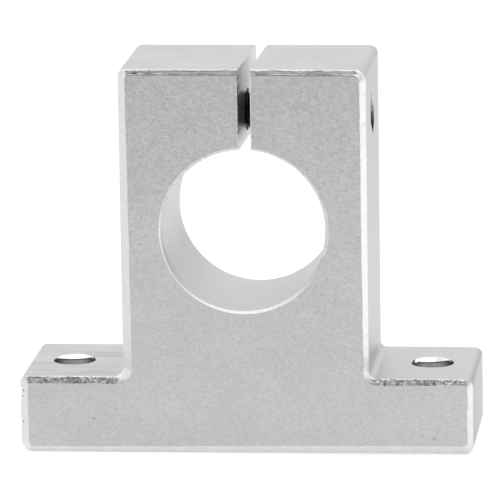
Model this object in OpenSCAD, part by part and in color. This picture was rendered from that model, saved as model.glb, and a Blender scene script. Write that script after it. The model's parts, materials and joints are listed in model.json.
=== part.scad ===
// Shaft support block: an upright with a split bore on a flat foot with two
// bolt holes, closed on the shaft by one recessed socket head cap screw.
//
// Millimetres. X runs along the foot, Y along the shaft, Z up. The origin is
// the centre of the foot's underside.

/* [Block] */
// Length of the foot, across its two bolt holes
foot_len = 70; // [68:1:76]
// Thickness of the foot
foot_th = 12; // [10:0.5:14]
// Width of the upright
upright_w = 38; // [36:1:42]
// Height from the underside to the top of the upright
total_h = 60; // [58:1:64]
// Depth of the block along the shaft
depth = 24; // [20:1:30]
// Radius of the outer corners of the extruded section
corner_r = 1.5; // [1.2:0.1:2]
// Radius in the corners where the upright meets the foot
root_r = 1.2; // [0.8:0.1:2]
// Bevel around the sawn front and back faces
edge_bevel = 0.8; // [0.3:0.1:1]

/* [Shaft bore] */
// Diameter of the shaft that the bore clamps
shaft_d = 25; // [20:1:26]
// Height of the shaft's axis above the underside
shaft_h = 35; // [33:0.5:36]
// Bevel at each mouth of the bore
bore_bevel = 0.5; // [0.2:0.1:0.8]

/* [Clamping slot] */
// Width of the slot while the screw is slack
slot_w = 1.75; // [1.2:0.05:2.5]
// Offset of the slot from the middle of the upright
slot_x = 0.4; // [-0.5:0.1:0.5]

/* [Foot bolts] */
// Distance between the two bolt holes
bolt_pitch = 56; // [54:0.5:57]
// Diameter of each bolt hole
bolt_hole_d = 6.6; // [5.5:0.1:7]
// Bevel at both mouths of each bolt hole
bolt_bevel = 0.15; // [0.1:0.05:0.5]

/* [Clamp screw] */
// Height of the screw's axis above the underside
screw_h = 51.9; // [51.5:0.1:53]
// Length of the screw under its head
screw_len = 25; // [18:1:28]
// Nominal thread diameter
thread_d = 6; // [5:1:6]
// Diameter of the screw's head
head_d = 10; // [9:0.5:10]
// Height of the screw's head
head_h = 6; // [5:0.5:6]
// Width across the flats of the hexagon socket
hex_af = 5; // [4:0.5:5]
// Depth of the hexagon socket
hex_depth = 3; // [2:0.5:3.5]
// How far the head lies below the side of the upright
head_recess = 0.5; // [0.2:0.1:1.5]
// Diameter of the counterbore around the head
counterbore_d = 11; // [10.5:0.5:11]
// Diameter of the clearance hole under the head
clearance_d = 6.6; // [6.4:0.1:7]
// Gap all round between the shank and the wall of the threaded hole
thread_gap = 0.05; // [0.02:0.01:0.1]

/* [Hidden] */
$fn = 64;

// Overrun of the cutters past the surfaces that they cut
over = 0.1;
half_w = upright_w / 2;
half_l = foot_len / 2;
bore_r = shaft_d / 2;
// X of the plane that the screw's head bears on
seat_x = -half_w + head_recess + head_h;
thread_r = thread_d / 2;
shank_r = thread_r - thread_gap;
tip_bevel = 0.6;
head_bevel = 0.5;
mouth_bevel = 0.15;

// Rectangle with round corners, from its low corner to its high corner
module round_rect(x0, z0, x1, z1, r) {
    translate([x0 + r, z0]) square([x1 - x0 - 2 * r, z1 - z0]);
    translate([x0, z0 + r]) square([x1 - x0, z1 - z0 - 2 * r]);
    for (x = [x0 + r, x1 - r], z = [z0 + r, z1 - r])
        translate([x, z]) circle(r);
}

// The extruded section: foot and upright, with the two inner corners filled
module section() {
    difference() {
        union() {
            round_rect(-half_l, 0, half_l, foot_th, corner_r);
            round_rect(-half_w, foot_th / 2, half_w, total_h, corner_r);
            translate([-half_w - root_r, foot_th - 1])
                square([upright_w + 2 * root_r, 1 + root_r]);
        }
        for (s = [-1, 1])
            translate([s * (half_w + root_r), foot_th + root_r])
                circle(root_r);
    }
}

// Bevel cutter along a straight edge of the front face. It runs along X and
// is centred on the origin, with the outside of the block at +Z.
module edge_cutter(len) {
    rotate([90, 0, 90])
        linear_extrude(len, center = true)
            polygon([
                [-depth / 2 - over, -edge_bevel - over],
                [-depth / 2 + edge_bevel + over, over],
                [-depth / 2 - over, over]
            ]);
}

// Bevel cutter for a quarter of an outer corner, starting at angle a
module corner_cutter(a) {
    rotate([90, 0, 0])
        rotate([0, 0, a])
            rotate_extrude(angle = 90)
                polygon([
                    [corner_r - edge_bevel - over, depth / 2 + over],
                    [corner_r + over, depth / 2 - edge_bevel - over],
                    [corner_r + over, depth / 2 + over]
                ]);
}

// Bevel cutter for the inner corner between the upright and the foot
module root_cutter() {
    rotate([90, 0, 0])
        translate([0, 0, depth / 2 - edge_bevel - over])
            cylinder(h = edge_bevel + 2 * over,
                     r1 = root_r - over, r2 = root_r + edge_bevel + over);
}

// All the bevel around the front face
module face_bevel() {
    side_len = total_h - foot_th - root_r;
    top_len = half_l - half_w - root_r;
    translate([0, 0, total_h]) edge_cutter(upright_w);
    rotate([0, 180, 0]) edge_cutter(foot_len);
    for (s = [0, 1]) mirror([s, 0, 0]) {
        translate([half_w, 0, total_h - side_len / 2])
            rotate([0, 90, 0]) edge_cutter(side_len);
        translate([half_l - top_len / 2, 0, foot_th]) edge_cutter(top_len);
        translate([half_l, 0, foot_th / 2])
            rotate([0, 90, 0]) edge_cutter(foot_th);
        translate([half_w + root_r, 0, foot_th + root_r]) root_cutter();
        translate([half_w - corner_r, 0, total_h - corner_r]) corner_cutter(0);
        translate([half_l - corner_r, 0, foot_th - corner_r]) corner_cutter(0);
        translate([half_l - corner_r, 0, corner_r]) corner_cutter(-90);
    }
}

// The shaft bore with a bevel at each mouth
module shaft_bore() {
    translate([0, 0, shaft_h]) rotate([90, 0, 0]) {
        cylinder(h = depth + 2, r = bore_r, center = true, $fn = 128);
        for (s = [0, 1]) mirror([0, 0, s])
            translate([0, 0, depth / 2 - bore_bevel])
                cylinder(h = bore_bevel + over, r1 = bore_r,
                         r2 = bore_r + bore_bevel + over, $fn = 128);
    }
}

// A foot bolt hole with a bevel at each mouth
module bolt_hole() {
    r = bolt_hole_d / 2;
    translate([0, 0, -1]) cylinder(h = foot_th + 2, r = r);
    translate([0, 0, foot_th - bolt_bevel])
        cylinder(h = bolt_bevel + over, r1 = r, r2 = r + bolt_bevel + over);
    translate([0, 0, -over])
        cylinder(h = bolt_bevel + over, r1 = r + bolt_bevel + over, r2 = r);
}

// Counterbore, clearance hole and threaded hole for the screw, along X
module screw_holes() {
    translate([0, 0, screw_h]) rotate([0, 90, 0]) {
        translate([0, 0, -half_w - 1])
            cylinder(h = seat_x + half_w + 1, r = counterbore_d / 2);
        translate([0, 0, seat_x - 1])
            cylinder(h = slot_x - seat_x + 1, r = clearance_d / 2);
        translate([0, 0, slot_x])
            cylinder(h = half_w - slot_x + 1, r = thread_r);
        translate([0, 0, half_w - mouth_bevel])
            cylinder(h = mouth_bevel + over, r1 = thread_r,
                     r2 = thread_r + mouth_bevel + over);
    }
}

module support_block() {
    color([0.78, 0.78, 0.79])
        difference() {
            rotate([90, 0, 0]) linear_extrude(depth, center = true) section();
            face_bevel();
            mirror([0, 1, 0]) face_bevel();
            shaft_bore();
            // the slot, from the bore out through the top
            translate([slot_x - slot_w / 2, -depth / 2 - 1, shaft_h])
                cube([slot_w, depth + 2, total_h - shaft_h + 1]);
            for (s = [-1, 1])
                translate([s * bolt_pitch / 2, 0, 0]) bolt_hole();
            screw_holes();
        }
}

// Socket head cap screw, its head towards -X. The thread is drawn as a plain
// shank at its outer diameter.
module clamp_screw() {
    color([0.07, 0.07, 0.08])
        translate([seat_x, 0, screw_h]) rotate([0, 90, 0])
            difference() {
                union() {
                    // shank with a bevelled tip
                    translate([0, 0, -1])
                        cylinder(h = screw_len - tip_bevel + 1, r = shank_r);
                    translate([0, 0, screw_len - tip_bevel])
                        cylinder(h = tip_bevel, r1 = shank_r,
                                 r2 = shank_r - tip_bevel);
                    // head with a bevelled rim
                    translate([0, 0, head_bevel - head_h])
                        cylinder(h = head_h - head_bevel, r = head_d / 2);
                    translate([0, 0, -head_h])
                        cylinder(h = head_bevel, r1 = head_d / 2 - head_bevel,
                                 r2 = head_d / 2);
                }
                // hexagon socket
                translate([0, 0, -head_h - 1])
                    cylinder(h = hex_depth + 1, r = hex_af / 2 / cos(30),
                             $fn = 6);
            }
}

support_block();
clamp_screw();
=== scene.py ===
"""Looks of the shaft support block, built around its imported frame. Metres, Z up, X along the foot, Y along the shaft."""

import json
import math

import bpy
import numpy as np
from mathutils import Matrix, Vector


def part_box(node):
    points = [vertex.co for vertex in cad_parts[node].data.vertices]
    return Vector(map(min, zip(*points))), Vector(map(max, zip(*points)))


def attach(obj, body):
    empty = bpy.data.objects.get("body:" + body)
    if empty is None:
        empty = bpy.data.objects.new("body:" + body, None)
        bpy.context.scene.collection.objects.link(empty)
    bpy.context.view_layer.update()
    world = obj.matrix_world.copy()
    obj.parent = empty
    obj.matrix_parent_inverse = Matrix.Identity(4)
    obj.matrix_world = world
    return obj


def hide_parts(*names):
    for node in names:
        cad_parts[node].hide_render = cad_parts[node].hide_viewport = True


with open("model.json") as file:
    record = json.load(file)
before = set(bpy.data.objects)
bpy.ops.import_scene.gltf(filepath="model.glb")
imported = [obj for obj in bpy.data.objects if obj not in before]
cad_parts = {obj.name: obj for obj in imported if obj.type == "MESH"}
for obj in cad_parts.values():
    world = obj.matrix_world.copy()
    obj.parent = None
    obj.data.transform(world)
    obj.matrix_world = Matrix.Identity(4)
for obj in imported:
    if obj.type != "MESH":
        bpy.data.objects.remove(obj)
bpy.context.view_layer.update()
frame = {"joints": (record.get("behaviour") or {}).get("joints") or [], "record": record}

MM = 0.001
scene = bpy.context.scene

# ------------------------------------------------------------------ sizes, in millimetres, from the frame
b_lo, b_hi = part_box("support_block")
s_lo, s_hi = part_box("clamp_screw")
HALF_L = b_hi.x / MM                      # half of the foot's length
HALF_D = b_hi.y / MM                      # half of the depth
TOP = b_hi.z / MM                         # height
MOUNTS = {m["name"]: m for m in frame["record"]["mounts"]}
SHAFT_Z = MOUNTS["shaft_clamp"]["pos_m"][2] / MM
BORE_R = MOUNTS["shaft_clamp"]["dims"]["r_mm"]
FOOT_T = MOUNTS["foot_bolts"]["pos_m"][2] / MM
BOLT_X = MOUNTS["foot_bolts"]["dims"]["spacing_x_mm"] / 2
BOLT_R = MOUNTS["foot_bolts"]["dims"]["hole_r_mm"]
HALF_W = 19.0                             # half of the upright's width
SLOT_X, SLOT_W = 0.4, 1.75
SCREW_Z = frame["joints"][0]["pos_m"][2] / MM
SEAT_X = s_lo.x / MM + 6.0                # plane under the screw's head
TIP_X = s_hi.x / MM
PITCH = 1.0


# ------------------------------------------------------------------ small helpers
def rnd(seed):
    return np.random.default_rng(seed)


def vnoise(s, length, cell, seed):
    """Smooth periodic value noise along s (0..length), about -1..1, with features of the size cell."""
    n = max(4, int(round(length / cell)))
    v = rnd(seed).uniform(-1, 1, n)
    u = (np.asarray(s) / length * n) % n
    i = np.floor(u).astype(int) % n
    f = u - np.floor(u)
    f = f * f * (3 - 2 * f)
    return v[i] * (1 - f) + v[(i + 1) % n] * f


def vnoise2(s, length, cell, t, tcell, seed):
    """The same along s, and also varying with t, which isn't periodic."""
    u = t / tcell
    k = int(math.floor(u))
    f = u - k
    f = f * f * (3 - 2 * f)
    return vnoise(s, length, cell, seed + 7919 * k) * (1 - f) + vnoise(s, length, cell, seed + 7919 * (k + 1)) * f


def make_object(name, verts, faces):
    me = bpy.data.meshes.new(name)
    me.from_pydata([tuple(v) for v in np.asarray(verts) * MM], [], faces)
    me.validate()
    me.update()
    ob = bpy.data.objects.new(name, me)
    scene.collection.objects.link(ob)
    return ob


def grid_faces(rows, cols, start=0, flip=False):
    """Quads of a tube of rows x cols vertices, closed around its columns."""
    out = []
    for i in range(rows - 1):
        for j in range(cols):
            a = start + i * cols + j
            b = start + i * cols + (j + 1) % cols
            c, d = b + cols, a + cols
            out.append((a, d, c, b) if flip else (a, b, c, d))
    return out


def tube(name, rings, flip=False):
    """Closed solid from rings (rows x cols x 3), with a flat cap at each end."""
    rings = np.asarray(rings, float)
    rows, cols = rings.shape[:2]
    faces = grid_faces(rows, cols, flip=flip)
    first, last = list(range(cols)), [(rows - 1) * cols + j for j in range(cols)]
    faces.append(tuple(first if flip else reversed(first)))
    faces.append(tuple(reversed(last) if flip else last))
    return make_object(name, rings.reshape(-1, 3), faces)


def revolve_x(name, prof, n, y0, z0, rfun=None):
    """Solid of revolution about the line y=y0, z=z0 along X. prof is a list of (x, r)."""
    th = np.arange(n) / n * 2 * math.pi
    rings = []
    for x, r in prof:
        rr = np.full(n, r, float) if rfun is None else rfun(x, r, th)
        rings.append(np.stack([np.full(n, x), y0 + rr * np.cos(th), z0 + rr * np.sin(th)], 1))
    return tube(name, rings)


def revolve_z(name, prof, n, x0, y0, rfun=None):
    th = np.arange(n) / n * 2 * math.pi
    rings = []
    for z, r in prof:
        rr = np.full(n, r, float) if rfun is None else rfun(z, r, th)
        rings.append(np.stack([x0 + rr * np.cos(th), y0 + rr * np.sin(th), np.full(n, z)], 1))
    return tube(name, rings)


def revolve_y(name, prof, n, x0, z0, rfun=None):
    """prof is a list of (y, r), y rising. The angle runs from +X towards +Z."""
    th = np.arange(n) / n * 2 * math.pi
    rings = []
    for y, r in prof:
        rr = np.full(n, r, float) if rfun is None else rfun(y, r, th)
        rings.append(np.stack([x0 + rr * np.cos(th), np.full(n, y), z0 + rr * np.sin(th)], 1))
    return tube(name, rings, flip=True)


def boolean(ob, cutter, operation="DIFFERENCE"):
    mod = ob.modifiers.new("cut", "BOOLEAN")
    mod.operation = operation
    mod.object = cutter
    mod.solver = "MANIFOLD"
    bpy.context.view_layer.update()
    dg = bpy.context.evaluated_depsgraph_get()
    new = bpy.data.meshes.new_from_object(ob.evaluated_get(dg))
    ob.modifiers.remove(mod)
    old = ob.data
    ob.data = new
    bpy.data.meshes.remove(old)
    me = cutter.data
    bpy.data.objects.remove(cutter)
    bpy.data.meshes.remove(me)
    if len(new.polygons) == 0:
        raise RuntimeError("a boolean left nothing: " + ob.name)


# ------------------------------------------------------------------ the extruded section and its bevelled edges
# Edges run anticlockwise seen from the front: bottom, right end, right foot top, right side, top, left side, left foot top, left end.
CORNERS = np.array([
    (-HALF_L, 0), (HALF_L, 0), (HALF_L, FOOT_T), (HALF_W, FOOT_T),
    (HALF_W, TOP), (-HALF_W, TOP), (-HALF_W, FOOT_T), (-HALF_L, FOOT_T)], float)
CONCAVE = [False, False, False, True, False, False, True, False]
# corner radii of the section, at the front and at the back
R_FRONT = np.array([1.75, 1.5, 1.35, 1.1, 1.75, 1.1, 1.2, 1.1])
R_BACK = np.array([1.5, 1.4, 1.15, 0.95, 1.2, 1.1, 1.1, 1.1])
STEP = 0.15
ARC = 16


def path(ins, rad, counts=None):
    """Closed outline with each edge moved in by ins[i] = (at its start, at its end) and its corners rounded.
    Returns points, edge weight per point (8 columns) and the number of points on each edge."""
    n = 8
    a, b = [], []
    for i in range(n):
        p, q = CORNERS[i], CORNERS[(i + 1) % n]
        d = (q - p) / np.linalg.norm(q - p)
        m = np.array([-d[1], d[0]])
        a.append(p + m * ins[i][0])
        b.append(q + m * ins[i][1])
    a, b = np.array(a), np.array(b)
    u = (b - a) / np.linalg.norm(b - a, axis=1)[:, None]
    pts, wts, t1s, t2s, cens = [], [], [], [], []
    for i in range(n):
        d0, d1 = u[i - 1], u[i]
        # meeting point of the two lines
        mtx = np.array([d0, -d1]).T
        k = np.linalg.solve(mtx, a[i] - a[i - 1])
        q = a[i - 1] + d0 * k[0]
        turn = math.atan2(d0[0] * d1[1] - d0[1] * d1[0], d0 @ d1)
        t = rad[i] * math.tan(abs(turn) / 2)
        side = 1 if turn > 0 else -1
        nrm = np.array([-d0[1], d0[0]]) * side
        t1s.append(q - d0 * t)
        t2s.append(q + d1 * t)
        cens.append((q - d0 * t + nrm * rad[i], turn))
    if counts is None:
        counts = [max(2, int(np.linalg.norm(t1s[(i + 1) % n] - t2s[i]) / STEP)) for i in range(n)]
    for i in range(n):
        c, turn = cens[i]
        v = t1s[i] - c
        for k in range(ARC + 1):
            f = k / ARC
            ang = turn * f
            ca, sa = math.cos(ang), math.sin(ang)
            pts.append(c + np.array([v[0] * ca - v[1] * sa, v[0] * sa + v[1] * ca]))
            w = np.zeros(8)
            w[i - 1] += 1 - f
            w[i] += f
            wts.append(w)
        p, q = t2s[i], t1s[(i + 1) % n]
        m = counts[i]
        for k in range(1, m):
            pts.append(p + (q - p) * k / m)
            w = np.zeros(8)
            w[i] = 1
            wts.append(w)
    return np.array(pts), np.array(wts), counts


OUT_PTS, WTS, COUNTS = path([(0, 0)] * 8, R_FRONT)
NPT = len(OUT_PTS)
seg = np.linalg.norm(np.roll(OUT_PTS, -1, 0) - OUT_PTS, axis=1)
S = np.concatenate([[0], np.cumsum(seg)[:-1]])
PERIM = seg.sum()
# inward normal at each point of the outline
tan = np.roll(OUT_PTS, -1, 0) - np.roll(OUT_PTS, 1, 0)
tan /= np.linalg.norm(tan, axis=1)[:, None]
INW = np.stack([-tan[:, 1], tan[:, 0]], 1)
# how far along each edge a point lies, 0 to 1
NEXT = np.roll(CORNERS, -1, 0)
ALONG = np.stack([np.clip((OUT_PTS - CORNERS[i]) @ (NEXT[i] - CORNERS[i]) / ((NEXT[i] - CORNERS[i]) ** 2).sum(), 0, 1) for i in range(8)], 1)

# Bevels. face: how far the bevel reaches in on the face, at each edge's start and end; deep: how far it reaches along
# the side, as one number or at the edge's start and end. kind: 0 is a plain bevel, 1 the rolled, rippled edge along the top, 2 the rough edge along the foot.
FRONT = dict(
    face=[(0.95, 1.62), (0.85, 0.8), (0.86, 0.98), (0.72, 0.92), (0.93, 0.88), (1.2, 1.55), (1.07, 1.05), (1.2, 1.25)],
    deep=[(0.72, 1.75), 0.78, 0.38, 0.81, 0.80, 1.2, 0.44, 0.92],
    kind=[0, 0, 2, 0, 1, 0, 2, 0], radius=R_FRONT, seed=11)
BACK = dict(
    face=[(0.9, 1.0), (0.9, 0.8), (0.6, 0.6), (0.6, 0.7), (0.6, 0.6), (0.6, 0.7), (0.6, 0.6), (0.9, 0.85)],
    deep=[0.8, 0.7, 0.5, 0.55, 0.5, 0.55, 0.5, 0.7],
    kind=[0] * 8, radius=R_BACK, seed=57)

# the rippled edge: a bright break, a steep strip, an upright strip, a second steep strip, then the face (in, depth)
ROLL_EDGE = [(0, 0.80), (0.04, 0.45), (0.08, 0.32), (0.12, 0.236), (0.18, 0.217), (0.24, 0.198), (0.30, 0.179), (0.36, 0.160),
             (0.45, 0.152), (0.55, 0.144), (0.64, 0.136), (0.71, 0.124), (0.78, 0.101), (0.85, 0.078), (0.92, 0.055), (1.02, 0.026), (1.16, 0)]
# the rough edge: a narrow break and one rough steep strip
ROUGH_EDGE = [(0, 0.46), (0.04, 0.42), (0.09, 0.38), (0.16, 0.350), (0.24, 0.318), (0.32, 0.288), (0.40, 0.258), (0.48, 0.228),
              (0.56, 0.199), (0.64, 0.170), (0.72, 0.141), (0.80, 0.113), (0.88, 0.085), (0.96, 0.058), (1.04, 0.032), (1.12, 0.012), (1.20, 0)]


def bevel_rings(spec, sign, K):
    """Rings from the side (k=0) to the face (k=K-1) of one end of the block, as rows of (x, y, z)."""
    kind = np.array(spec["kind"])
    w_roll = np.clip(WTS @ (kind == 1).astype(float) * 2.2 - 1.2, 0, 1)
    w_rough = np.clip(WTS @ (kind == 2).astype(float) * 2.2 - 1.2, 0, 1)
    w_plain = 1 - w_roll - w_rough
    ends = np.array([d if isinstance(d, tuple) else (d, d) for d in spec["deep"]])
    deep_pt = (WTS * (ends[:, 0] + (ends[:, 1] - ends[:, 0]) * ALONG)).sum(1)
    face_mean = np.array([np.mean(f) for f in spec["face"]])
    radius = spec["radius"]
    T = np.linspace(0, 1, K)
    roll = np.array([(u / 1.16, d / 0.80) for u, d in ROLL_EDGE]) if K == len(ROLL_EDGE) else np.stack([T, 1 - T], 1)
    rough = np.array([(u / 1.20, d / 0.46) for u, d in ROUGH_EDGE]) if K == len(ROUGH_EDGE) else np.stack([T, 1 - T], 1)
    sd = spec["seed"]
    # the side edge wanders along the side
    lo = vnoise(S, PERIM, 7.0, sd + 1) * 0.05 + vnoise(S, PERIM, 1.6, sd + 2) * 0.03 + vnoise(S, PERIM, 0.6, sd + 3) * 0.025
    # how the rippled edge's strips wander and swell
    wander = [vnoise(S, PERIM, 1.9, sd + 40 + i) * a + vnoise(S, PERIM, 0.8, sd + 46 + i) * b for i, (a, b) in
              enumerate(((0.032, 0.026), (0.010, 0.010), (0.042, 0.034), (0.010, 0.012)))]
    wander[1] = wander[1] + 0.85 * wander[0]        # each steep strip keeps its width as it wanders
    wander[3] = wander[3] + 0.90 * wander[2]
    level = vnoise(S, PERIM, 2.3, sd + 52) * 0.008 + vnoise(S, PERIM, 0.8, sd + 53) * 0.012
    lower = vnoise(S, PERIM, 1.7, sd + 56) * 0.006 + vnoise(S, PERIM, 0.6, sd + 57) * 0.006
    chip = vnoise(S, PERIM, 0.7, sd + 54) * 0.5 + vnoise(S, PERIM, 0.3, sd + 55) * 0.5
    rings = []
    for k in range(K):
        frac = [(T[k], roll[k, 0], rough[k, 0])[kd] for kd in kind]
        ins = [(f[0] * fr, f[1] * fr) for f, fr in zip(spec["face"], frac)]
        rad = []
        for i in range(8):
            w = 0.5 * (face_mean[i - 1] * frac[i - 1] + face_mean[i] * frac[i])
            rad.append(radius[i] + w if CONCAVE[i] else max(0.35, radius[i] - 0.75 * w))
        pts, _, _ = path(ins, rad, COUNTS)
        t = T[k]
        env = math.sin(math.pi * t)
        # plain bevel
        push0 = (vnoise(S, PERIM, 5.0, sd + 4) * 0.05 + vnoise(S, PERIM, 1.1, sd + 5) * 0.035 + vnoise(S, PERIM, 0.45, sd + 6) * 0.03) * t * t
        d0 = deep_pt * (1 - t) + lo * (1 - t)
        f0 = (vnoise(S, PERIM, 1.3, sd + 20) * 0.014 + vnoise(S, PERIM, 0.5, sd + 21) * 0.010
              + vnoise2(S, PERIM, 0.6, t, 0.3, sd + 30) * 0.008) * env
        d0 = d0 + f0 * 0.7
        push0 = push0 + f0 * 0.7
        # rippled edge
        u = roll[k, 0] * 1.16
        push1 = np.zeros(NPT)
        for j in range(len(wander)):
            c = (0.12, 0.36, 0.68, 0.96)[j]
            push1 = push1 + wander[j] * max(0.0, 1 - abs(u - c) / 0.26)
        d1 = deep_pt * roll[k, 1] + lo * (1 - t) * 0.6
        d1 = d1 + chip * 0.045 * math.exp(-((u - 0.08) / 0.05) ** 2)
        d1 = d1 + level * math.exp(-((u - 0.60) / 0.20) ** 2) * (1 - math.exp(-u / 0.15))
        d1 = d1 + lower * math.exp(-((u - 0.93) / 0.13) ** 2)
        # rough edge
        u = rough[k, 0] * 1.20
        e2 = min(1.0, u / 0.12) * min(1.0, (1.28 - u) / 0.12)
        grit = (vnoise2(S, PERIM, 0.62, u, 0.36, sd + 61) * 0.022 + vnoise2(S, PERIM, 0.34, u, 0.22, sd + 63) * 0.040) * e2
        push2 = grit * 0.35 + (vnoise(S, PERIM, 0.7, sd + 66) * 0.05 + vnoise(S, PERIM, 0.35, sd + 67) * 0.03) * t * t
        d2 = deep_pt * rough[k, 1] + grit + lo * (1 - t) * 0.6
        push = push0 * w_plain + push1 * w_roll + push2 * w_rough
        deep = d0 * w_plain + d1 * w_roll + d2 * w_rough
        deep = np.zeros(NPT) if k == K - 1 else np.maximum(deep, 0.004 * (K - 1 - k))
        pts = pts + INW * (push if k else np.zeros(NPT))[:, None]
        # the noise never lifts a point out of the section's box
        pts = np.stack([np.clip(pts[:, 0], -HALF_L, HALF_L), np.clip(pts[:, 1], 0, TOP)], 1)
        y = sign * (HALF_D - deep)
        rings.append(np.stack([pts[:, 0], y, pts[:, 1]], 1))
    return rings


front = bevel_rings(FRONT, -1, 17)
back = bevel_rings(BACK, 1, 6)
rings = front[::-1]                                 # face, then out to the side
f0, b0 = front[0], back[0]
for t in np.linspace(0, 1, 8)[1:-1]:
    rings.append(f0 * (1 - t) + b0 * t)
rings += back
rings = np.array(rings)
# dings in the left end's edge
DINGS = ((-34.85, -11.35, 9.6, 0.50, 0.38), (-34.9, -11.3, 8.7, 0.36, 0.24), (-34.85, -11.35, 4.7, 0.40, 0.26))
for (cx, cy, cz, r, dpt) in DINGS:
    d2 = ((rings - np.array([cx, cy, cz])) ** 2).sum(2)
    rings[..., 0] += dpt * np.exp(-d2 / (r * r))
# a gouge in the rippled edge, near its left end
GOUGE = (-16.3, 59.45)
d2 = ((rings[..., 0] - GOUGE[0]) / 0.55) ** 2 + ((rings[..., 2] - GOUGE[1]) / 0.16) ** 2
inner = (rings[..., 1] < -HALF_D + 0.5) & (rings[..., 1] > -HALF_D + 0.01)
rings[..., 1] += np.where(inner, 0.04 * np.exp(-d2), 0.0)

block = tube("support_block_body", rings, flip=True)

# ------------------------------------------------------------------ what is cut out of it
# shaft bore: a thin bright break at each mouth, widest at the lower right of the front one, then a slight flare
NB = 512
th = np.arange(NB) / NB * 2 * math.pi
wob = vnoise(th, 2 * math.pi, 0.35, 5) * 0.012 + vnoise(th, 2 * math.pi, 0.05, 6) * 0.010


def mouth(y_sign, size, full, run):
    """Rings of one mouth, from the inside out: the flare, the 45 degree break, its rim, and an overrun."""
    out = []
    for r, y in ((BORE_R + 0 * size, HALF_D - run + 0 * size),
                 (BORE_R + (full - size) * 0.36, HALF_D - size - (run - size) * 0.45),
                 (BORE_R + (full - size) * 0.75, HALF_D - size - (run - size) * 0.15),
                 (BORE_R + full - size, HALF_D - size), (BORE_R + full - size * 0.5, HALF_D - size * 0.5), (BORE_R + full + 0 * size, HALF_D + 0 * size),
                 (BORE_R + full + 0.6 + 0 * size, HALF_D + 0.6 + 0 * size)):
        out.append(np.stack([r * np.cos(th), y_sign * y, SHAFT_Z + r * np.sin(th)], 1))
    return out


# how far each mouth opens past the bore, all round: the front one is a little wider than it's high
upper = np.clip(0.55 + 1.2 * np.sin(th) + 0.35 * np.cos(th), 0, 1)
front_full = 0.43 + 0.06 * np.cos(2 * th) + 0.04 * np.cos(th) - 0.04 * np.sin(th) + 0.18 * upper + wob
front_size = (0.18 + 0.27 * np.clip(np.cos(th + math.radians(58)), 0, 1) ** 1.5 + 0.18 * upper
              + 0.10 * np.clip(np.cos(th - math.radians(130)), 0, 1) ** 2 + wob)
front_size = np.minimum(front_size, front_full - 0.02)
back_full = 0.15 + 0.07 * np.cos(th) + vnoise(th, 2 * math.pi, 0.5, 8) * 0.012
back_size = back_full * 0.8
rings = mouth(-1, front_size, front_full, 1.6)[::-1]
for y in (-9.0, -4.5, 0.0, 4.5, 9.0):
    rings.append(np.stack([BORE_R * np.cos(th), np.full(NB, y), SHAFT_Z + BORE_R * np.sin(th)], 1))
rings += mouth(1, back_size, back_full, 1.2)
boolean(block, tube("c", rings, flip=True))

# slot: sawn from the top, its walls a little wavy and its front edges ragged
zs = np.concatenate([np.arange(SHAFT_Z, TOP + 0.9, 0.2), [TOP + 1.2]])
BREAK = {-1: 0.03, 1: 0.18}                          # breaks on the slot's front edges
OPEN = 0.10                                          # how much it opens towards the front, on each side
SKEW = 0.0165                                        # the saw ran slightly out of line with the shaft
wall = {}
for side, sd in ((-1, 101), (1, 131)):
    BR = BREAK[side]
    ys = np.array([-HALF_D - 0.5, -HALF_D, -HALF_D + BR, -8, -4, 0, 4, 8, HALF_D - 0.08, HALF_D, HALF_D + 0.5])
    g = np.zeros((len(zs), len(ys), 3))
    rag = vnoise(zs, 40, 0.9, sd) * 0.03 + vnoise(zs, 40, 0.45, sd + 1) * 0.03
    for j, y in enumerate(ys):
        flare = {0: BR + 0.5, 1: BR, len(ys) - 2: 0.08, len(ys) - 1: 0.58}.get(j, 0.0)
        flare += OPEN * min(1.0, max(0.0, (-4 - y) / 8)) ** 1.5
        x = (SLOT_X + SKEW * (y + HALF_D) + side * (SLOT_W / 2 + flare) + side * rag * (1.0 if j in (0, 1) else 0.12))
        g[:, j] = np.stack([x, np.full(len(zs), y), zs], 1)
    wall[side] = g
nz, ny = len(zs), len(ys)
verts = np.concatenate([wall[-1].reshape(-1, 3), wall[1].reshape(-1, 3)])
off = nz * ny
faces = []
for i in range(nz - 1):
    for j in range(ny - 1):
        a = i * ny + j
        faces.append((a, a + ny, a + ny + 1, a + 1))
        faces.append((off + a, off + a + 1, off + a + ny + 1, off + a + ny))
for i in range(nz - 1):
    a = i * ny
    faces.append((a, off + a, off + a + ny, a + ny))
    a = i * ny + ny - 1
    faces.append((a, a + ny, off + a + ny, off + a))
for j in range(ny - 1):
    faces.append((j, j + 1, off + j + 1, off + j))
    a = (nz - 1) * ny + j
    faces.append((a, off + a, off + a + 1, a + 1))
boolean(block, make_object("c", verts, faces))

# foot bolt holes, each with a countersink that ran off centre towards the back, and torn spots in its rim
SINK_R = BOLT_R - 0.42                               # radius of the countersink's rim
SINK_OFF = {-1: (-0.20, 1.28), 1: (-0.20, 1.28)}      # how far off centre it is, by side
TORN = {-1: ((36, 0.10, 1.0), (163, 0.05, 0.4)), 1: ((33, 0.10, 0.9), (150, 0.15, 1.0))}   # torn spots: direction, half width, size


def sink(side, th):
    """How far the off-centre cone reaches past the hole's wall, how deep it goes and how torn it is, all round."""
    ox, oy = SINK_OFF[side]
    along = ox * np.cos(th) + oy * np.sin(th)
    reach = np.maximum(along + np.sqrt(SINK_R ** 2 - (ox * ox + oy * oy - along ** 2)) - BOLT_R, 0.03)
    torn = np.zeros(np.shape(th))
    for a, w, k in TORN[side]:
        torn = np.maximum(torn, k * np.clip(1.6 - np.abs(th - math.radians(a)) / w, 0, 1))
    drop = reach * 0.70 + 0.20 * torn
    return reach, drop, torn


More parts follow.
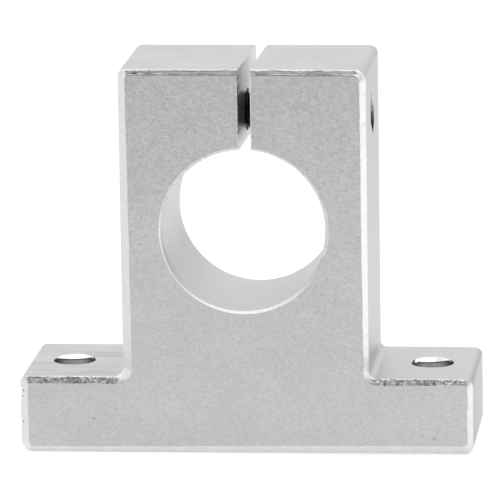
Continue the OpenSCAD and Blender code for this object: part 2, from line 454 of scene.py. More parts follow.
NH = 256
th = np.arange(NH) / NH * 2 * math.pi
for side, sd in ((-1, 201), (1, 231)):
    rag = vnoise(th, 2 * math.pi, 0.5, sd) * 0.015 + vnoise(th, 2 * math.pi, 0.16, sd + 1) * 0.012
    low = vnoise(th, 2 * math.pi, 0.6, sd + 2) * 0.03 + vnoise(th, 2 * math.pi, 0.15, sd + 3) * 0.02
    reach, drop, torn = sink(side, th)
    rim = BOLT_R + reach + rag + 0.10 * torn
    drop = drop + low * 0.6
    half_z = drop * (0.5 + 0.42 * torn)
    half_r = BOLT_R + (rim - BOLT_R) * (0.5 + 0.5 * torn)
    rows = [(-0.5, BOLT_R + 0.65), (0, BOLT_R + 0.15), (0.15, BOLT_R), (3, BOLT_R), (6, BOLT_R), (9, BOLT_R), (10.5, BOLT_R),
            (FOOT_T - drop - 0.20, BOLT_R), (FOOT_T - drop, BOLT_R), (FOOT_T - half_z, half_r), (FOOT_T, rim), (FOOT_T + 0.5, rim + 0.5 * (1 - torn))]
    rings = [np.stack([side * BOLT_X + (r + 0 * th) * np.cos(th), (r + 0 * th) * np.sin(th), z + 0 * th], 1) for z, r in rows]
    boolean(block, tube("c", rings))

# counterbore and clearance hole for the screw
prof = [(-HALF_W - 0.6, 5.5 + 0.72), (-HALF_W, 5.5 + 0.12), (-HALF_W + 0.12, 5.5), (-15, 5.5), (SEAT_X, 5.5), (SEAT_X, 3.6),
        (SEAT_X + 0.3, 3.3), (-6, 3.3), (SLOT_X, 3.3)]
prof = [(x + 1e-4 * i, r) for i, (x, r) in enumerate(prof)]
boolean(block, revolve_x("c", prof, 128, 0, SCREW_Z))

# ------------------------------------------------------------------ thread
R_MAJ = 2.95


def flank(phase):
    p = np.abs((phase + 0.5) % 1.0 - 0.5)
    return R_MAJ - (p - 0.0625) * PITCH * 1.732


def thread_phase(x, th):
    return (x - SEAT_X) / PITCH - th / (2 * math.pi)


def male_r(x, th):
    r = np.clip(flank(thread_phase(x, th)), 2.41, R_MAJ)
    neck = np.clip((SEAT_X + 2.6 - x) / 0.8, 0, 1)              # plain neck under the head
    r = r * (1 - neck) + 2.9 * neck
    tip = R_MAJ - np.clip(x - (TIP_X - 0.75), 0, None) * 1.0
    return np.minimum(r, tip)


def female_r(x, th):
    r = np.clip(flank(thread_phase(x, th)) + 0.07, 2.5, 3.06)
    # the mouth's break runs out towards the lower back, where the first thread is torn away
    away = np.clip((np.cos(th + math.radians(56)) - 0.76) / 0.14, 0, 1)
    size = 0.74 - 0.66 * np.maximum(np.clip(1.4 * np.cos(th + math.radians(70)), 0, 1), np.clip(1.6 * np.cos(th - math.radians(140)) - 0.3, 0, 1))
    r = np.maximum(r, 2.5 + (x - (HALF_W - size)))
    return np.where((x > HALF_W - 0.8) & (x < HALF_W + 0.2), np.maximum(r, 2.9 + 1.05 * away * np.minimum(1.0, (x - HALF_W + 0.8) / 0.25)), r)


NTH = 96
xs = np.concatenate([np.arange(SLOT_X, HALF_W - 0.82, PITCH / 16), np.array([HALF_W - 0.81, HALF_W - 0.79, HALF_W - 0.65, HALF_W - 0.55, HALF_W - 0.4, HALF_W - 0.2, HALF_W, HALF_W + 0.19, HALF_W + 0.5])])
th = np.arange(NTH) / NTH * 2 * math.pi
rings = []
for x in xs:
    rr = female_r(x, th)
    rings.append(np.stack([np.full(NTH, x), rr * np.cos(th), SCREW_Z + rr * np.sin(th)], 1))
boolean(block, tube("c", rings))

# ------------------------------------------------------------------ clamp screw
rings = []
for x in np.concatenate([np.arange(SEAT_X - 1.0, TIP_X, PITCH / 16), [TIP_X]]):
    rr = male_r(np.full(NTH, x), th)
    rings.append(np.stack([np.full(NTH, x), rr * np.cos(th), SCREW_Z + rr * np.sin(th)], 1))
screw = tube("clamp_screw_body", rings)

HEAD_R, HEAD_X = 5.0, SEAT_X - 6.0
NK = 54


def head_r(x, r, th):
    depth = np.clip((x - (HEAD_X + 0.55)) / 0.25, 0, 1) * np.clip((SEAT_X - 0.35 - x) / 0.25, 0, 1)
    tooth = 0.5 - 0.5 * np.cos(NK * th)
    return np.full(len(th), r) - 0.16 * depth * (1 - tooth) ** 1.2


prof = [(HEAD_X, 4.1), (HEAD_X + 0.06, 4.35), (HEAD_X + 0.2, 4.62), (HEAD_X + 0.5, HEAD_R - 0.08), (HEAD_X + 0.56, HEAD_R),
        (HEAD_X + 0.82, HEAD_R), (SEAT_X - 3.5, HEAD_R), (SEAT_X - 0.62, HEAD_R), (SEAT_X - 0.34, HEAD_R), (SEAT_X - 0.08, HEAD_R - 0.2), (SEAT_X, HEAD_R - 0.35)]
head = revolve_x("c", prof, NK * 8, 0, SCREW_Z, head_r)
hexr = 2.5 / math.cos(math.pi / 6)
hexa = (np.arange(6) + 0.5) / 6 * 2 * math.pi + math.radians(11)
rings = []
for x, r in ((HEAD_X - 0.5, hexr), (HEAD_X + 3.0, hexr), (HEAD_X + 3.6, hexr * 0.55), (HEAD_X + 3.9, 0.05)):
    rings.append(np.stack([np.full(6, x), r * np.cos(hexa), SCREW_Z + r * np.sin(hexa)], 1))
boolean(head, tube("c", rings))
boolean(head, revolve_x("c", [(HEAD_X - 0.5, 3.5), (HEAD_X, 3.0), (HEAD_X + 0.5, 2.5), (HEAD_X + 0.7, 2.3)], 96, 0, SCREW_Z))
boolean(screw, head, "UNION")


# ------------------------------------------------------------------ materials
def new_material(name):
    m = bpy.data.materials.new(name)
    m.use_nodes = True
    nt = m.node_tree
    for n in list(nt.nodes):
        nt.nodes.remove(n)
    return m, nt


class Nodes:
    """Short names for making shader nodes."""

    def __init__(self, nt):
        self.nt = nt
        self.x = 0

    def add(self, kind, **kw):
        n = self.nt.nodes.new(kind)
        n.location = (self.x, 0)
        self.x += 180
        for k, v in kw.items():
            setattr(n, k, v)
        return n

    def link(self, a, b):
        self.nt.links.new(a, b)

    def coords(self, scale=(1, 1, 1), rot=(0, 0, 0)):
        tc = self.add("ShaderNodeTexCoord")
        mp = self.add("ShaderNodeMapping")
        mp.inputs["Scale"].default_value = scale
        mp.inputs["Rotation"].default_value = rot
        self.link(tc.outputs["Object"], mp.inputs["Vector"])
        return mp.outputs["Vector"]

    def noise(self, vec, scale, detail=2.0, rough=0.5, dist=0.0):
        n = self.add("ShaderNodeTexNoise")
        n.inputs["Scale"].default_value = scale
        n.inputs["Detail"].default_value = detail
        n.inputs["Roughness"].default_value = rough
        n.inputs["Distortion"].default_value = dist
        self.link(vec, n.inputs["Vector"])
        return n.outputs["Fac"]

    def ramp(self, fac, stops):
        n = self.add("ShaderNodeValToRGB")
        cr = n.color_ramp
        while len(cr.elements) > 1:
            cr.elements.remove(cr.elements[-1])
        for i, (p, v) in enumerate(stops):
            e = cr.elements[0] if i == 0 else cr.elements.new(p)
            e.position = p
            c = v if isinstance(v, tuple) else (v, v, v)
            e.color = (*c, 1)
        self.link(fac, n.inputs["Fac"])
        return n.outputs["Color"]

    def range(self, fac, a, b, c, d):
        n = self.add("ShaderNodeMapRange")
        for k, v in zip(("From Min", "From Max", "To Min", "To Max"), (a, b, c, d)):
            n.inputs[k].default_value = v
        self.link(fac, n.inputs["Value"])
        return n.outputs["Result"]

    def math(self, op, a, b=None, clamp=False):
        n = self.add("ShaderNodeMath", operation=op, use_clamp=clamp)
        for s, v in ((0, a), (1, b)):
            if v is None:
                continue
            if isinstance(v, (int, float)):
                n.inputs[s].default_value = v
            else:
                self.link(v, n.inputs[s])
        return n.outputs[0]

    def mix_color(self, fac, a, b, mode="MIX"):
        n = self.add("ShaderNodeMix", data_type="RGBA", blend_type=mode)
        for s, v in (("Factor", fac), ("A", a), ("B", b)):
            sock = [i for i in n.inputs if i.name == s and i.enabled][0]
            if isinstance(v, (int, float)):
                sock.default_value = v
            elif isinstance(v, tuple):
                sock.default_value = (*v, 1)
            else:
                self.link(v, sock)
        return [o for o in n.outputs if o.enabled][0]

    def spot(self, vec, centre, radii):
        """1 inside a small ellipsoid, fading to 0 at its rim. In millimetres."""
        sub = self.add("ShaderNodeVectorMath", operation="SUBTRACT")
        sub.inputs[1].default_value = tuple(c * MM for c in centre)
        self.link(vec, sub.inputs[0])
        mul = self.add("ShaderNodeVectorMath", operation="MULTIPLY")
        mul.inputs[1].default_value = tuple(1 / (r * MM) for r in radii)
        self.link(sub.outputs[0], mul.inputs[0])
        ln = self.add("ShaderNodeVectorMath", operation="LENGTH")
        self.link(mul.outputs[0], ln.inputs[0])
        return self.range(ln.outputs["Value"], 0.45, 1.0, 1.0, 0.0)

    def bump(self, height, strength, distance, normal=None):
        n = self.add("ShaderNodeBump")
        n.inputs["Strength"].default_value = strength
        n.inputs["Distance"].default_value = distance
        self.link(height, n.inputs["Height"])
        if normal is not None:
            self.link(normal, n.inputs["Normal"])
        return n.outputs["Normal"]

    def principled(self, color, rough, normal=None, metallic=1.0, edge=1.0):
        p = self.add("ShaderNodeBsdfPrincipled")
        p.inputs["Specular Tint"].default_value = (edge, edge, edge, 1)
        p.inputs["Metallic"].default_value = metallic
        if isinstance(color, tuple):
            p.inputs["Base Color"].default_value = (*color, 1)
        else:
            self.link(color, p.inputs["Base Color"])
        if isinstance(rough, (int, float)):
            p.inputs["Roughness"].default_value = rough
        else:
            self.link(rough, p.inputs["Roughness"])
        if normal is not None:
            self.link(normal, p.inputs["Normal"])
        out = self.add("ShaderNodeOutputMaterial")
        self.link(p.outputs["BSDF"], out.inputs["Surface"])
        return p


AL = 0.66


def tint(v):
    return (v, v, v * 1.004)


def mat_face():
    """Blasted face: even grain a few tenths of a millimetre across, with faint clouds."""
    m, nt = new_material("aluminium_blasted")
    n = Nodes(nt)
    v = n.coords()
    grain = n.coords(scale=(0.90, 1, 1.45))
    fine = n.noise(grain, 3600, 2, 0.6)
    mid = n.noise(grain, 1700, 3, 0.6)
    big = n.noise(v, 110, 3, 0.5)
    xyz = n.add("ShaderNodeSeparateXYZ")
    n.link(v, xyz.inputs[0])
    g = n.math("ADD", n.math("MULTIPLY", fine, 0.5), n.math("MULTIPLY", mid, 0.5))
    # the grain shows more towards the top
    g = n.math("ADD", n.math("MULTIPLY", n.math("SUBTRACT", g, 0.5), n.range(xyz.outputs[2], 0.010, 0.057, 1.0, 1.38)), 0.5)
    col = n.ramp(g, [(0.2, tint(AL * 0.72)), (0.5, tint(AL * 0.97)), (0.8, tint(AL * 1.21))])
    cloud = n.range(big, 0.3, 0.7, 0.965, 1.01)
    # painted light and shade: the face is made lighter and darker in bands by height, darkest at the top
    level = n.ramp(n.range(xyz.outputs[2], 0.0, TOP * MM, 0.0, 1.0), [(0.0, 1.0), (0.12, 1.01), (0.25, 0.99), (0.40, 1.0), (0.60, 1.02), (0.80, 0.98), (1.0, 0.975)])
    col = n.mix_color(1.0, col, level, "MULTIPLY")
    col = n.mix_color(1.0, col, cloud, "MULTIPLY")
    # a few small pits, painted as dark spots: painted shade standing in for their hollows
    for x, z, rx, rz in ((-23.6, 5.45, 0.45, 0.3), (29.05, 2.7, 0.35, 0.3), (1.85, 53.75, 0.3, 0.2), (12.05, 25.15, 0.3, 0.25)):
        painted_pit_shade = n.spot(v, (x, -HALF_D, z), (rx, 0.3, rz))
        col = n.mix_color(n.math("MULTIPLY", painted_pit_shade, 0.5), col, tint(AL * 0.45))
    rough = n.range(mid, 0.3, 0.7, 0.50, 0.60)
    nrm = n.bump(g, 0.5, 0.00008)
    n.principled(col, rough, nrm)
    return m


def mat_drawn():
    """Sides left as extruded: satin and smooth, with very faint lines across the extrusion."""
    m, nt = new_material("aluminium_drawn")
    n = Nodes(nt)
    v = n.coords(scale=(0.06, 1, 1))
    lines = n.noise(v, 1500, 2, 0.6)
    v2 = n.coords()
    soft = n.noise(v2, 160, 3, 0.5)
    fine = n.noise(v2, 2200, 2, 0.5)
    col = n.ramp(n.math("ADD", n.math("MULTIPLY", lines, 0.5), n.math("MULTIPLY", soft, 0.5)),
                 [(0.3, tint(AL * 0.965)), (0.7, tint(AL * 1.02))])
    # the left foot's top is a little more scored, along X, and the right end is painted darker, most towards its front:
    # painted shade
    xyz = n.add("ShaderNodeSeparateXYZ")
    n.link(v2, xyz.inputs[0])
    left = n.math("MULTIPLY", n.range(xyz.outputs[0], -0.0195, -0.0205, 0.0, 1.0), n.range(xyz.outputs[2], 0.0112, 0.0119, 0.0, 1.0))
    score = n.noise(n.coords(scale=(0.12, 1, 1)), 560, 3, 0.65)
    col = n.mix_color(left, col, n.mix_color(1.0, col, n.ramp(score, [(0.34, 0.83), (0.5, 0.98), (0.66, 1.05)]), "MULTIPLY"))
    end = n.range(xyz.outputs[0], 0.0342, 0.0349, 0.0, 1.0)
    # painted shade: the right end darker towards its front
    right_end_painted_shade = n.ramp(n.range(xyz.outputs[1], -0.012, 0.012, 0.0, 1.0), [(0.0, 0.70), (0.25, 0.78), (0.5, 0.84), (1.0, 0.84)])
    col = n.mix_color(end, col, n.mix_color(1.0, col, right_end_painted_shade, "MULTIPLY"))
    rough = n.range(soft, 0.3, 0.7, 0.36, 0.44)
    h = n.math("ADD", n.math("MULTIPLY", lines, 0.6), n.math("MULTIPLY", fine, 0.5))
    nrm = n.bump(h, 0.12, 0.00003)
    n.principled(col, rough, nrm, edge=0.82)
    return m


def mat_bevel():
    """Filed or scraped edges: brighter, smoother, with marks across the edge."""
    m, nt = new_material("aluminium_bevel")
    n = Nodes(nt)
    v = n.coords()
    a = n.noise(v, 700, 3, 0.6)
    b = n.noise(v, 2600, 2, 0.5)
    col = n.ramp(n.math("ADD", n.math("MULTIPLY", a, 0.5), n.math("MULTIPLY", b, 0.5)),
                 [(0.3, tint(0.71)), (0.7, tint(0.82))])
    # painted light: the bevels are lighter on the left end and along the bottom, and a little darker everywhere else
    xyz = n.add("ShaderNodeSeparateXYZ")
    n.link(v, xyz.inputs[0])
    painted_light_lift = n.math("MAXIMUM", n.range(xyz.outputs[0], -0.0335, -0.0342, 0.0, 0.07), n.range(xyz.outputs[2], 0.0017, 0.0013, 0.0, 0.04))
    col = n.mix_color(1.0, col, n.ramp(painted_light_lift, [(0.0, 0.935), (0.1, 1.0)]), "MULTIPLY")
    # painted shade: each ding is also painted dark, standing in for the shade in its dent
    for x, y, z, r, _ in DINGS:
        col = n.mix_color(n.math("MULTIPLY", n.spot(v, (x, y, z), (1.3 * r, 1.3 * r, 0.6 * r)), 0.8), col, tint(0.25))
    rough = n.range(a, 0.3, 0.7, 0.26, 0.36)
    nrm = n.bump(n.math("ADD", a, n.math("MULTIPLY", b, 0.4)), 0.25, 0.00004)
    n.principled(col, rough, nrm)
    return m


def mat_coarse():
    """The rough, granular bevel along the foot's front edges."""
    m, nt = new_material("aluminium_coarse_bevel")
    n = Nodes(nt)
    v = n.coords()
    a = n.noise(v, 2300, 2, 0.6)
    b = n.noise(v, 800, 2, 0.5)
    mix = n.math("ADD", n.math("MULTIPLY", a, 0.72), n.math("MULTIPLY", b, 0.28))
    col = n.ramp(mix, [(0.38, tint(0.23)), (0.46, tint(0.44)), (0.54, tint(0.68)), (0.62, tint(0.92))])
    nrm = n.bump(mix, 0.7, 0.00008)
    n.principled(col, 0.36, nrm)
    return m


def mat_rolled():
    """The rippled edge along the top: burnished, and a little darker than the filed edges."""
    m, nt = new_material("aluminium_rolled_edge")
    n = Nodes(nt)
    v = n.coords()
    a = n.noise(n.coords(scale=(0.35, 1, 1)), 1500, 3, 0.6)
    col = n.ramp(a, [(0.35, tint(0.68)), (0.5, tint(0.81)), (0.65, tint(0.90))])
    # painted shade: the gouge is painted near-black, standing in for the shade in its hollow
    gouge = n.spot(v, (GOUGE[0], -HALF_D + 0.1, GOUGE[1]), (0.75, 0.8, 0.20))
    col = n.mix_color(gouge, col, tint(0.10))
    nrm = n.bump(a, 0.25, 0.00004)
    n.principled(col, n.range(a, 0.35, 0.65, 0.24, 0.31), nrm)
    return m


def mat_burr():
    """The light, rolled-over edge that the saw left along the slot."""
    m, nt = new_material("aluminium_burr")
    n = Nodes(nt)
    a = n.noise(n.coords(), 1600, 3, 0.6)
    col = n.ramp(a, [(0.35, tint(0.72)), (0.65, tint(0.92))])
    n.principled(col, 0.7, n.bump(a, 0.3, 0.00004), metallic=0.35)
    return m


def mat_painted_lip_shade():
    """A dark band painted where each countersink meets its hole: painted shade under the countersink's rim."""
    m, nt = new_material("aluminium_lip_painted_shade")
    n = Nodes(nt)
    a = n.noise(n.coords(), 2600, 2, 0.6)
    n.principled(n.ramp(a, [(0.35, 0.10), (0.65, 0.34)]), 0.5, n.bump(a, 0.3, 0.00004), metallic=0.8)
    return m


def mat_drill():
    """Walls of the foot's bolt holes: drilled, and painted darker where they turn away from the view, as painted shade.
    """
    m, nt = new_material("aluminium_drilled")
    n = Nodes(nt)
    a = n.noise(n.coords(), 900, 3, 0.6)
    rings_z = n.noise(n.coords(scale=(0.15, 0.15, 1)), 2600, 2, 0.5)
    lw = n.add("ShaderNodeLayerWeight")
    lw.inputs["Blend"].default_value = 0.5
    # painted shade: the colour falls from full to a tenth as the wall turns away from the view
    turn = n.ramp(lw.outputs["Facing"], [(0.0, 1.0), (0.1, 0.92), (0.22, 0.55), (0.38, 0.24), (0.6, 0.12), (1.0, 0.10)])
    col = n.mix_color(1.0, n.ramp(a, [(0.3, 0.88), (0.7, 1.0)]), turn, "MULTIPLY")
    nrm = n.bump(n.math("ADD", a, rings_z), 0.2, 0.00004)
    n.principled(col, n.range(a, 0.3, 0.7, 0.50, 0.60), nrm, metallic=0.75)
    return m


def mat_bore():
    """Reamed bore: smooth, with fine lines round it."""
    m, nt = new_material("aluminium_bore")
    n = Nodes(nt)
    v = n.coords(scale=(0.04, 1, 0.04))
    lines = n.noise(v, 2600, 3, 0.6)
    v2 = n.coords()
    soft = n.noise(v2, 140, 3, 0.5)
    col = n.ramp(n.math("ADD", n.math("MULTIPLY", lines, 0.5), n.math("MULTIPLY", soft, 0.5)),
                 [(0.3, tint(AL * 0.98)), (0.7, tint(AL * 1.06))])
    rough = n.range(lines, 0.3, 0.7, 0.31, 0.38)
    nrm = n.bump(lines, 0.12, 0.00003)
    n.principled(col, rough, nrm, edge=0.82)
    return m


def mat_sink():
    """Countersinks: freshly cut, bright, with fine turning lines."""
    m, nt = new_material("aluminium_countersink")
    n = Nodes(nt)
    a = n.noise(n.coords(), 1200, 3, 0.6)
    b = n.noise(n.coords(scale=(0.2, 0.2, 1)), 5000, 2, 0.5)
    col = n.ramp(a, [(0.3, tint(0.84)), (0.7, tint(0.93))])
    nrm = n.bump(n.math("ADD", b, n.math("MULTIPLY", a, 0.5)), 0.15, 0.00003)
    n.principled(col, n.range(a, 0.3, 0.7, 0.24, 0.32), nrm, metallic=0.8)
    return m


def mat_hole():
    """Drilled and tapped holes."""
    m, nt = new_material("aluminium_hole")
    n = Nodes(nt)
    v = n.coords()
    a = n.noise(v, 900, 3, 0.6)
    col = n.ramp(a, [(0.3, tint(0.66)), (0.7, tint(0.80))])
    # the tapped hole's mouth: a little darker above, and painted near-black where the thread is torn: painted shade in
    # the hollow there
    col = n.mix_color(n.math("MULTIPLY", n.spot(v, (HALF_W, 1.8, SCREW_Z + 2.2), (1.2, 3.4, 2.6)), 0.8), col, tint(0.64))
    col = n.mix_color(n.spot(v, (HALF_W - 0.2, 2.3, SCREW_Z - 2.8), (1.3, 2.6, 2.1)), col, tint(0.07))
    nrm = n.bump(a, 0.15, 0.00004)
    n.principled(col, n.range(a, 0.3, 0.7, 0.30, 0.42), nrm, metallic=0.88)
    return m


def mat_mouth():
    """The upper part of the tapped hole's mouth: matt, about as light as the side around it."""
    m, nt = new_material("aluminium_mouth")
    n = Nodes(nt)
    a = n.noise(n.coords(), 1500, 3, 0.6)
    n.principled(n.ramp(a, [(0.3, tint(0.68)), (0.7, tint(0.79))]), 0.7, n.bump(a, 0.2, 0.00004), metallic=0.2)
    return m


def mat_slot():
    """Sawn slot walls: lines along the cut (Y), with painted light lighter towards the top and painted shade darker
    towards the back.
    """
    m, nt = new_material("aluminium_sawn")
    n = Nodes(nt)
    v = n.coords(scale=(1, 0.04, 1))
    lines = n.noise(v, 3200, 3, 0.6)
    col = n.ramp(lines, [(0.3, tint(AL * 1.02)), (0.7, tint(AL * 1.14))])
    xyz = n.add("ShaderNodeSeparateXYZ")
    n.link(n.coords(), xyz.inputs[0])
    # painted light: the walls lighter towards the top of the slot
    col = n.mix_color(1.0, col, n.ramp(n.range(xyz.outputs[2], 0.046, 0.060, 0.0, 1.0), [(0.0, 0.95), (0.3, 0.97), (0.6, 1.15), (1.0, 1.17)]), "MULTIPLY")
    # painted shade: the walls darker towards the back of the slot
    col = n.mix_color(1.0, col, n.ramp(n.range(xyz.outputs[1], 0.002, 0.012, 0.0, 1.0), [(0.0, 1.0), (1.0, 0.78)]), "MULTIPLY")
    nrm = n.bump(lines, 0.12, 0.00003)
    n.principled(col, 0.32, nrm)
    return m


def mat_screw():
    m, nt = new_material("steel_black_oxide")
    n = Nodes(nt)
    v = n.coords()
    a = n.noise(v, 500, 4, 0.6)
    b = n.noise(v, 3500, 2, 0.5)
    col = n.ramp(a, [(0.3, (0.018, 0.018, 0.020)), (0.7, (0.045, 0.044, 0.046))])
    rough = n.range(b, 0.3, 0.7, 0.28, 0.42)
    nrm = n.bump(n.math("ADD", a, b), 0.15, 0.00004)
    p = n.principled(col, rough, nrm, metallic=0.85)
    return m


MATS = [mat_face(), mat_drawn(), mat_bevel(), mat_coarse(), mat_bore(), mat_hole(), mat_slot(), mat_sink(), mat_rolled(), mat_drill(), mat_burr(), mat_painted_lip_shade(), mat_mouth()]
FACE, DRAWN, BEVEL, COARSE, BORE, HOLE, SLOT, SINK, ROLLED, DRILL, BURR, LIP_PAINTED_SHADE, MOUTH = range(13)


# ------------------------------------------------------------------ shading groups and crisp edges
def finish_mesh(ob, mats, zone, angle=32, flat=()):
    me = ob.data
    me.materials.clear()
    for m in mats:
        me.materials.append(m)
    n = len(me.polygons)
    cen = np.empty(n * 3)
    nor = np.empty(n * 3)
    me.polygons.foreach_get("center", cen)
    me.polygons.foreach_get("normal", nor)
    cen, nor = cen.reshape(-1, 3) / MM, nor.reshape(-1, 3)
    z = zone(cen, nor)
    me.polygons.foreach_set("material_index", z.astype(np.int32))
    me.polygons.foreach_set("use_smooth", ~np.isin(z, flat))
    # sharp where faces meet at an angle, and where the kind of surface changes
    ls = np.empty(n, np.int32)
    lt = np.empty(n, np.int32)
    me.polygons.foreach_get("loop_start", ls)
    me.polygons.foreach_get("loop_total", lt)
    le = np.empty(len(me.loops), np.int32)
    me.loops.foreach_get("edge_index", le)
    owner = np.repeat(np.arange(n), lt)
    order = np.argsort(le, kind="stable")
    es, fo = le[order], owner[order]
    first = np.searchsorted(es, np.arange(len(me.edges)))
    ok = (first + 1 < len(es))
    first = np.minimum(first, len(es) - 2)
    fa, fb = fo[first], fo[first + 1]
    both = ok & (es[first] == np.arange(len(me.edges))) & (es[first + 1] == np.arange(len(me.edges)))
    dots = (nor[fa] * nor[fb]).sum(1)
    sharp = ~both | (dots < math.cos(math.radians(angle))) | (z[fa] != z[fb])
    attr = me.attributes.get("sharp_edge") or me.attributes.new("sharp_edge", "BOOLEAN", "EDGE")
    attr.data.foreach_set("value", sharp)
    me.update()


def block_zone(c, nrm):
    x, y, z = c.T
    nx, ny, nz = nrm.T
    out = np.full(len(c), DRAWN)
    edge = (np.abs(y) > HALF_D - 1.7) & (np.abs(ny) > 0.04)
    out[edge] = BEVEL
    out[edge & (y < 0) & (z > TOP - 1.25) & ((nz < 0.6) | (z < TOP - 0.18)) & (np.abs(x) < HALF_W - 0.9)] = ROLLED
    out[edge & (y < 0) & (z > FOOT_T - 1.25) & (z < FOOT_T + 0.2) & ((nz < 0.6) | (z < FOOT_T - 0.15))
        & (np.abs(x) > HALF_W + 1.05) & (np.abs(x) < HALF_L - 1.2)] = COARSE
    face = (np.abs(ny) > 0.9995) & (np.abs(y) > HALF_D - 0.02)
    out[face] = FACE
    d = np.hypot(x, z - SHAFT_Z)
    out[(d < BORE_R + 0.02) & (np.abs(ny) < 0.9)] = BORE
    out[(d >= BORE_R - 0.02) & (d < BORE_R + 0.5) & (np.abs(ny) < 0.4) & (np.abs(y) > HALF_D - 1.6)] = BORE
    rim = (d >= BORE_R - 0.02) & (d < BORE_R + 1.0) & (np.abs(ny) >= 0.4) & (np.abs(ny) < 0.95)
    out[rim] = BEVEL
    out[rim & (y < 0) & (z > SHAFT_Z + np.where(x > 0, -4.0, 3.0))] = BURR
    dh = np.hypot(np.abs(x) - BOLT_X, y)
    out[(dh < BOLT_R + 0.9) & (z < FOOT_T + 0.01) & (np.abs(nz) < 0.99)] = DRILL
    out[(dh < BOLT_R + 0.9) & (z < FOOT_T + 0.01) & (z > FOOT_T - 1.2) & (nz > 0.3) & (nz < 0.97)] = SINK
    # painted shade: a thin band of each bolt hole's wall just under its countersink gets the dark lip material
    for side in (-1, 1):
        drop = sink(side, np.arctan2(y, x - side * BOLT_X) % (2 * math.pi))[1]
        out[(np.hypot(x - side * BOLT_X, y) < BOLT_R + 0.1) & (np.abs(nz) < 0.2) & (z < FOOT_T - drop - 0.03) & (z > FOOT_T - drop - 0.17)] = LIP_PAINTED_SHADE
    ds = np.hypot(y, z - SCREW_Z)
    out[(ds < 5.75) & (np.abs(x) < HALF_W + 0.01) & ~((np.abs(nx) > 0.999) & (np.abs(np.abs(x) - HALF_W) < 0.01)) & (z > 46) & (np.abs(y) < 5.8)
        & (d > BORE_R + 0.02) & ~((np.abs(x - SLOT_X) < 1.3) & (np.abs(nx) > 0.95))] = HOLE
    out[(out == HOLE) & (x > HALF_W - 0.78) & (z > SCREW_Z)] = MOUTH
    out[(np.abs(x - SLOT_X) < 1.45) & (np.abs(nx) > 0.8) & (z > SHAFT_Z + 11)] = SLOT
    out[(x > SLOT_X + 0.8) & (x < SLOT_X + 1.5) & (nx < -0.3) & (nx > -0.9) & (np.abs(ny) > 0.3) & (y < -HALF_D + 0.4) & (z > SHAFT_Z + 11)] = BURR
    return out


finish_mesh(block, MATS, block_zone, flat=(FACE,))
finish_mesh(screw, [mat_screw()], lambda c, n: np.zeros(len(c)), 28)

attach(block, "support_block")
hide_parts("support_block")
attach(screw, "clamp_screw")
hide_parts("clamp_screw")

# ------------------------------------------------------------------ floor, light and camera
# A white floor that glows by itself, strongest to the block's right and falling away in front of it, with an extra
# patch under the block: painted light, not lit by a lamp.
fm, nt = new_material("floor")
n = Nodes(nt)
geo = n.add("ShaderNodeTexCoord")
fxyz = n.add("ShaderNodeSeparateXYZ")
n.link(geo.outputs["Object"], fxyz.inputs["Vector"])
gx = n.range(fxyz.outputs["X"], -0.5, 0.5, 0.0, 1.0)
near = n.ramp(gx, [(0.0, 0.38), (0.3, 0.38), (0.42, 0.37), (0.455, 0.37), (0.462, 0.50), (0.53, 0.50), (0.56, 0.58), (0.60, 0.69), (0.72, 0.76), (1.0, 0.78)])
far = n.ramp(gx, [(0.0, 0.46), (0.3, 0.48), (0.57, 0.50), (0.62, 0.30), (1.0, 0.25)])
across = n.mix_color(n.range(fxyz.outputs["Y"], 0.02, 0.12, 0.0, 1.0), near, far)
along = n.ramp(n.range(fxyz.outputs["Y"], -0.5, 0.5, 0.0, 1.0),
               [(0.0, 0.02), (0.18, 0.05), (0.25, 0.24), (0.31, 0.68), (0.37, 1.02), (0.44, 1.08), (0.48, 1.08), (0.54, 1.0), (1.0, 1.0)])
painted_floor_glow = n.mix_color(1.0, across, along, "MULTIPLY")
# painted light: an extra glow on the floor just under the block, out of the camera's sight, lighting the bottom bevels
under_x = n.ramp(gx, [(0.0, 0.0), (0.463, 0.0), (0.466, 1.0), (0.534, 1.0), (0.537, 0.0), (1.0, 0.0)])
under_y = n.ramp(n.range(fxyz.outputs["Y"], -0.5, 0.5, 0.0, 1.0), [(0.0, 0.0), (0.483, 0.0), (0.487, 1.0), (0.512, 1.0), (0.516, 0.0), (1.0, 0.0)])
under = n.mix_color(1.0, under_x, under_y, "MULTIPLY")
painted_floor_glow = n.mix_color(1.0, painted_floor_glow, n.mix_color(1.0, under, (0.07, 0.07, 0.07), "MULTIPLY"), "ADD")
bs = n.add("ShaderNodeBsdfPrincipled")
bs.inputs["Base Color"].default_value = (0.55, 0.55, 0.55, 1)
bs.inputs["Roughness"].default_value = 0.9
bs.inputs["Specular IOR Level"].default_value = 0.0
n.link(painted_floor_glow, bs.inputs["Emission Color"])
bs.inputs["Emission Strength"].default_value = 1.0
o = n.add("ShaderNodeOutputMaterial")
n.link(bs.outputs["BSDF"], o.inputs["Surface"])
me = bpy.data.meshes.new("floor")
r = 6.0
me.from_pydata([(-r, -r, 0), (r, -r, 0), (r, r, 0), (-r, r, 0)], [], [(0, 1, 2, 3)])
floor = bpy.data.objects.new("floor", me)
floor.data.materials.append(fm)
scene.collection.objects.link(floor)

world = bpy.data.worlds.new("studio")
scene.world = world
world.use_nodes = True
nt = world.node_tree
for nd in list(nt.nodes):
    nt.nodes.remove(nd)
n = Nodes(nt)
tc = n.add("ShaderNodeTexCoord")
sep = n.add("ShaderNodeSeparateXYZ")
n.link(tc.outputs["Generated"], sep.inputs["Vector"])
ex, ey, ez = sep.outputs
H = n.range(ez, -0.2, 1.0, 0.0, 1.0)                # height above the horizon


def at(z):
    return (z + 0.2) / 1.2


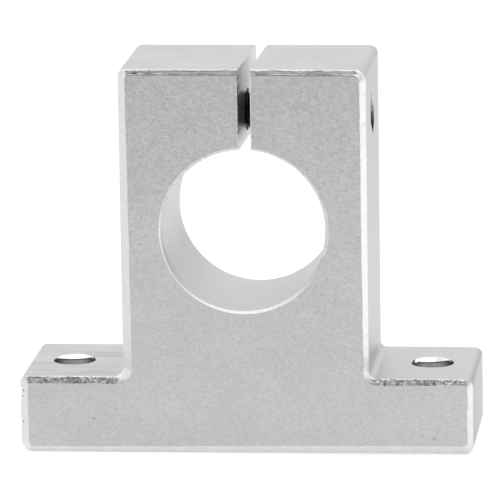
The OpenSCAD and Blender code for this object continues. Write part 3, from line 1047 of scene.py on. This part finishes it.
room = n.ramp(H, [(at(-0.2), 0.92), (at(0.0), 0.92), (at(0.25), 0.96), (at(0.45), 1.05), (at(0.75), 1.35), (at(1.0), 1.5)])
dark = n.ramp(H, [(at(-0.2), 0.55), (at(0.0), 0.55), (at(0.2), 0.36), (at(0.38), 0.20), (at(0.62), 0.24), (at(0.72), 1.15), (at(0.80), 1.25), (at(1.0), 1.5)])
facing = n.range(ey, -0.80, -0.45, 0.0, 1.0)
c0 = n.mix_color(facing, dark, room)
sides = n.ramp(n.range(ex, -1.0, 1.0, 0.0, 1.0), [(0.0, 0.66), (0.1, 0.60), (0.5, 0.50), (0.6, 0.51), (0.66, 0.42), (0.8, 0.22), (0.90, 0.22), (0.95, 0.70), (0.98, 0.90), (1.0, 0.90)])
low = n.range(ez, 0.0, 0.6, 1.0, 0.0)
sides = n.mix_color(low, (0.5, 0.5, 0.5), sides)
c1 = n.mix_color(1.0, n.mix_color(1.0, c0, sides, "ADD"), (0.5, 0.5, 0.5), "SUBTRACT")
lp = n.add("ShaderNodeLightPath")
c3 = n.mix_color(lp.outputs["Is Camera Ray"], c1, (1.0, 1.0, 1.0))
bg = n.add("ShaderNodeBackground")
n.link(c3, bg.inputs["Color"])
bg.inputs["Strength"].default_value = 1.0
o = n.add("ShaderNodeOutputWorld")
n.link(bg.outputs["Background"], o.inputs["Surface"])

scene.view_settings.view_transform = "Standard"
scene.view_settings.look = "None"
scene.view_settings.exposure = 0.0
scene.view_settings.gamma = 1.0

# camera: yaw and elevation of the view, the point it looks at and its distance, in degrees and millimetres
YAW, PITCH_C, ROLL = 0.1076, 0.2001, -0.0151
TARGET, DIST, F_PX = (-0.2385, 0.0, 29.6779), 878.8335, 5668.0
bvec = np.array([math.sin(YAW) * math.cos(PITCH_C), -math.cos(YAW) * math.cos(PITCH_C), math.sin(PITCH_C)])
fwd = -bvec
rt = np.cross(fwd, [0, 0, 1]); rt /= np.linalg.norm(rt)
up = np.cross(rt, fwd)
cr, sr = math.cos(ROLL), math.sin(ROLL)
rt2, up2 = cr * rt + sr * up, -sr * rt + cr * up
pos = np.array(TARGET) - fwd * DIST
cam_d = bpy.data.cameras.new("camera")
cam_d.sensor_width = 36.0
cam_d.lens = F_PX / 500 * 36.0
cam_d.clip_start, cam_d.clip_end = 0.01, 50
cam = bpy.data.objects.new("camera", cam_d)
scene.collection.objects.link(cam)
cam.matrix_world = Matrix((
    (rt2[0], up2[0], -fwd[0], pos[0] * MM),
    (rt2[1], up2[1], -fwd[1], pos[1] * MM),
    (rt2[2], up2[2], -fwd[2], pos[2] * MM),
    (0, 0, 0, 1)))
scene.camera = cam

bpy.context.view_layer.update()
